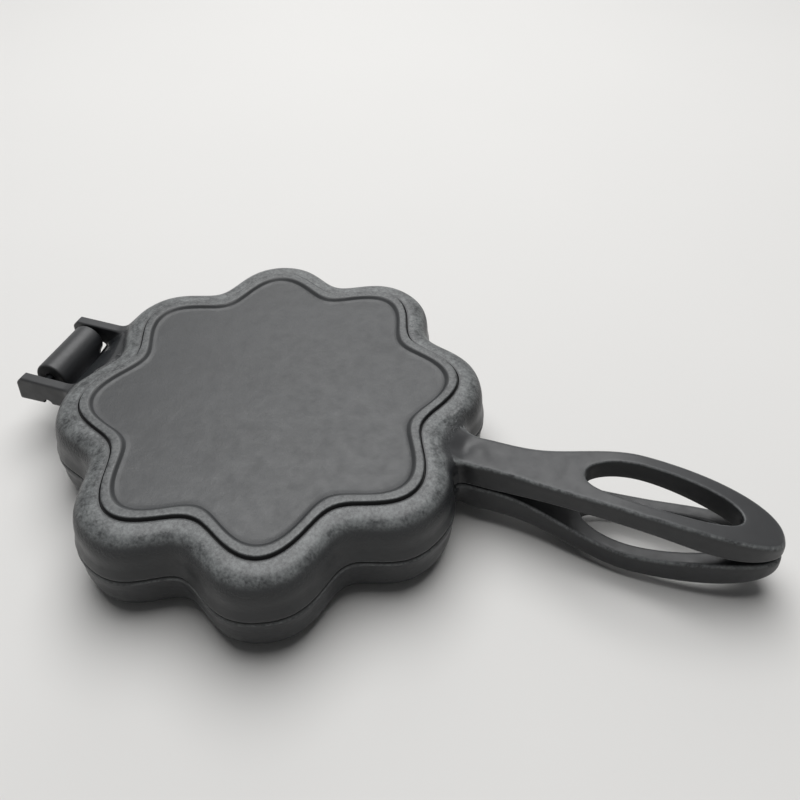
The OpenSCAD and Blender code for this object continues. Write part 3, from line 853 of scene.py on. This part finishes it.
class Handles(bpy.types.Operator):
    """Builds the two slotted handles"""
    bl_idname = "waffle_pan.handles"
    bl_label = "Handles"

    def execute(self, context):
        finish = context.scene.pan_finish
        seasoned_iron(HANDLE_IRON, finish.handle_colour, finish, 0.42)
        for name, upper in (("lower_handle_casting", False), ("upper_handle_casting", True)):
            handle_piece(name, upper)
        return {"FINISHED"}


class Hinge(bpy.types.Operator):
    """Builds the barrel on its neck, the web and the two hooked ears, and finishes the pin"""
    bl_idname = "waffle_pan.hinge"
    bl_label = "Hinge"

    def execute(self, context):
        scene = context.scene
        pan, hinge, finish = scene.pan_sizes, scene.pan_hinge_sizes, scene.pan_finish
        seasoned_iron(HINGE_IRON, finish.hinge_colour, finish, 0.4)
        pin = frame["nodes"]["hinge_pin"]
        pin.data.materials.clear()
        pin.data.materials.append(drawn_steel(finish))
        parting = 2 * pan.half_height - pan.rim_height

        def root(y):
            return float(root_distance(pan, abs(y)))

        # Web between the ears, sloping down to a thin lip
        lip = hinge.lip_end
        stations = [(x, 0.0) for x in np.linspace(78 * MM, lip - 0.5 * MM, 22)]
        stations += [(lip - 0.2 * MM, 0.15 * MM), (lip, 0.5 * MM)]
        rounded_bar("upper_web", root, stations, lambda x: parting,
                    lambda x: broken_line(x, (70, 82.5, 92.2), (34.2, 30.7, 21.1)),
                    lambda x: hinge.ear_inner + 0.5 * MM, 0.6 * MM)

        # Ears: the lower edge falls a little towards the end, and the end's upper corner is cut
        turn, hook_r, notch_r = 0.9 * MM, hinge.hook / 2, 2.3 * MM

        def ear_low(x):
            return parting - 1.0 * MM * max(0.0, (x - lip) / (hinge.ear_end - lip))

        def ear_high(x):
            return hinge.ear_top - max(0.0, x - (hinge.ear_end - hinge.ear_cut))

        stations = [(x, 0.0) for x in np.linspace(79 * MM, hinge.ear_end - turn, 34)]
        stations += [(hinge.ear_end - turn + turn * math.sin(a), turn * (1 - math.cos(a)))
                     for a in np.radians((30, 60, 80, 90))]
        for name, sign in (("front_ear_casting", -1), ("rear_ear_casting", 1)):
            ear = rounded_bar(name, root, stations, ear_low, ear_high, lambda x: hinge.ear_thick / 2, turn,
                              sign * (hinge.ear_inner + hinge.ear_thick / 2))
            # Hook slot, blind from outside, its way in from below, and the notch beside it
            lo, hi = sorted((sign * (hinge.ear_inner - 1 * MM), sign * (hinge.ear_inner + hinge.hook_depth)))
            thin = 0.01 * MM
            hook = spun(name + "_hook", [(lo, thin), (lo, hook_r), (hi, hook_r), (hi, thin)],
                        hinge.axis_x, hinge.axis_z)
            gate = block(name + "_gate", (-hinge.axis_x - hook_r, lo, 10 * MM),
                         (-hinge.axis_x + hook_r, hi, hinge.axis_z))
            notch = spun(name + "_notch", [(-0.03, thin), (-0.03, notch_r), (0.03, notch_r), (0.03, thin)],
                         hinge.axis_x - hook_r - notch_r + 0.15 * MM, parting)
            cut_away(ear, [hook, gate, notch])

        # Neck and barrel of the lower half
        depth = hinge.barrel_width / 2
        tail = hinge.axis_x + depth - 2.5 * MM
        stations = [(x, 0.0) for x in np.linspace(78 * MM, tail, 34)]
        axis_mm, tail_mm = hinge.axis_x / MM, tail / MM
        neck = rounded_bar("neck_casting", root, stations,
                           lambda x: broken_line(x, (70, 82.5, axis_mm, tail_mm), (4, 11.7, 14.2, 19.6)),
                           lambda x: broken_line(x, (70, 93.4, axis_mm, tail_mm), (18.9, 18.9, 24.0, 20.3)),
                           lambda x: hinge.neck_width / 2, 1.0 * MM)
        end, bore = hinge.barrel_length / 2, hinge.bore / 2
        rows = [(-end + 0.3 * MM, bore), (-end, bore + 0.3 * MM)]
        rows += [(-end + turn * (1 - math.sin(a)), depth - turn * (1 - math.cos(a)))
                 for a in np.radians((90, 67.5, 45, 22.5, 0))]
        rows += [(y, depth) for y in np.linspace(-end + turn, end - turn, 20)[1:-1]]
        rows += [(-y, r) for y, r in reversed(rows[:7])]
        # The barrel's ends, where they face the ears, get painted shade
        soot = [0.9 if abs(y) > end - 0.1 * MM else 0.0 for y, r in rows]
        rows = [(y + hinge.barrel_shift, r) for y, r in rows]
        barrel = spun("barrel_casting", rows, hinge.axis_x, hinge.axis_z, 96, soot + soot[:1])
        blend_roots([(neck, barrel, 4 * MM)], False)
        return {"FINISHED"}


class Roots(bpy.types.Operator):
    """Lets handles and hinge flow into the pan halves, joins what is one casting, and dresses all"""
    bl_idname = "waffle_pan.roots"
    bl_label = "Roots"

    def execute(self, context):
        named = bpy.data.objects
        upper, lower = named["upper_pan_casting"], named["lower_pan_casting"]
        web, neck = named["upper_web"], named["neck_casting"]
        front, rear = named["front_ear_casting"], named["rear_ear_casting"]
        # Touching pieces, with the reach of the fillet between them
        blend_roots([(upper, named["upper_handle_casting"], 7 * MM), (upper, web, 3 * MM),
                     (upper, front, 6 * MM), (upper, rear, 6 * MM),
                     (web, front, 3 * MM), (web, rear, 3 * MM)], True)
        blend_roots([(lower, named["lower_handle_casting"], 7 * MM), (lower, neck, 5 * MM)], False)
        centre = context.scene.pan_sizes.centre_x
        for piece, grip, z in ((upper, "upper_handle_casting", 31), (lower, "lower_handle_casting", 7.2)):
            cast_lumps([piece, named[grip]], Vector((77 * MM - centre, 0, z * MM)), 22 * MM, 1.8 * MM)
        join_into(upper, [web])
        join_into(named["barrel_casting"], [neck])
        irons = [bpy.data.materials[kind] for kind in (PAN_IRON, HANDLE_IRON, HINGE_IRON)]
        pan_iron, handle_iron, hinge_iron = irons
        dress(upper, "upper", "pan_iron", pan_iron, "upper_pan")
        dress(lower, "lower", "pan_iron", pan_iron, "lower_pan")
        dress(named["upper_handle_casting"], "upper", "handle_iron", handle_iron, "upper_handle")
        dress(named["lower_handle_casting"], "lower", "handle_iron", handle_iron, "lower_handle")
        dress(front, "upper", "hinge_iron", hinge_iron, "front_hinge_ear")
        dress(rear, "upper", "hinge_iron", hinge_iron, "rear_hinge_ear")
        dress(named["barrel_casting"], "lower", "hinge_iron", hinge_iron, "hinge_barrel")
        return {"FINISHED"}


class Stage(bpy.types.Operator):
    """Lays the paper, sets the lamps and the sky, and places the camera"""
    bl_idname = "waffle_pan.stage"
    bl_label = "Stage"

    def execute(self, context):
        scene = context.scene
        finish = scene.pan_finish
        bm = bmesh.new()
        bmesh.ops.create_circle(bm, cap_ends=True, segments=96, radius=4.0)
        mesh = bpy.data.meshes.new("paper")
        bm.to_mesh(mesh)
        bm.free()
        mesh.materials.append(matt_paper(finish))
        paper = put("paper", mesh)

        for name, spot, size, power in (("overhead softbox", (-0.15, 0.4, 1.4), 1.6, 29.0),
                                        ("back softbox", (-0.75, 1.85, 1.2), 1.4, 7.5)):
            light = bpy.data.lights.new(name, "AREA")
            light.shape, light.size, light.energy = "DISK", size, power
            lamp = put(name, light)
            lamp.location = spot
            lamp.rotation_euler = (-Vector(spot)).to_track_quat("-Z", "Y").to_euler()

        world = bpy.data.worlds.new("pale studio")
        world.use_nodes = True
        tree = world.node_tree
        tree.nodes.clear()
        path = add(tree, "ShaderNodeLightPath").outputs
        room = add(tree, "ShaderNodeBackground", {0: (0.95, 0.97, 1.0, 1), 1: 0.085})
        seen = add(tree, "ShaderNodeBackground", {0: (*linear("#e8e8e7"), 1), 1: 1.0})
        direct = path["Is Camera Ray"]
        for kind in ("Is Glossy Ray", "Is Transmission Ray"):
            direct = add(tree, MATH, {0: direct, 1: path[kind]}, operation="MAXIMUM")
        both = add(tree, "ShaderNodeMixShader", {0: direct, 1: room, 2: seen})
        add(tree, "ShaderNodeOutputWorld", {"Surface": both})
        scene.world = world
        scene.view_settings.view_transform = "Standard"

        # The photograph's view: from above the hinge end's near side, with a lens shift
        lens = bpy.data.cameras.new("camera")
        lens.lens, lens.sensor_width, lens.sensor_fit = 37.455, 36.0, "HORIZONTAL"
        lens.shift_y = -0.3
        lens.clip_start, lens.clip_end = 0.01, 20.0
        camera = put("camera", lens)
        camera.location = (85.72 * MM, -220.02 * MM, 285.6 * MM)
        camera.rotation_euler = Euler([math.radians(a) for a in (60.392, 0.413, 18.072)], "XYZ")
        scene.camera = camera
        return {"FINISHED"}


class PanPanel(bpy.types.Panel):
    """Lists the steps that build the waffle pan"""
    bl_idname = "VIEW3D_PT_waffle_pan"
    bl_label = "Egg Waffle Pan"
    bl_space_type = "VIEW_3D"
    bl_region_type = "UI"
    bl_category = "Waffle Pan"

    def draw(self, context):
        for step in STEPS:
            self.layout.operator(step.bl_idname)
        for name in GROUPS:
            group = getattr(context.scene, name)
            box = self.layout.box()
            for key in group.__annotations__:
                box.prop(group, key)


STEPS = (PanHalves, Handles, Hinge, Roots, Stage)
GROUPS = {"pan_sizes": PanSizes, "pan_handle_sizes": HandleSizes, "pan_hinge_sizes": HingeSizes,
          "pan_finish": Finish}


def register():
    for kind in (*GROUPS.values(), *STEPS, PanPanel):
        bpy.utils.register_class(kind)
    for name, kind in GROUPS.items():
        setattr(bpy.types.Scene, name, bpy.props.PointerProperty(type=kind))


def unregister():
    for name in GROUPS:
        delattr(bpy.types.Scene, name)
    for kind in reversed((*GROUPS.values(), *STEPS, PanPanel)):
        bpy.utils.unregister_class(kind)


def main():
    register()
    for step in STEPS:
        group, name = step.bl_idname.split(".")
        getattr(getattr(bpy.ops, group), name)()
    bpy.context.view_layer.update()


if __name__ == "__main__":
    main()
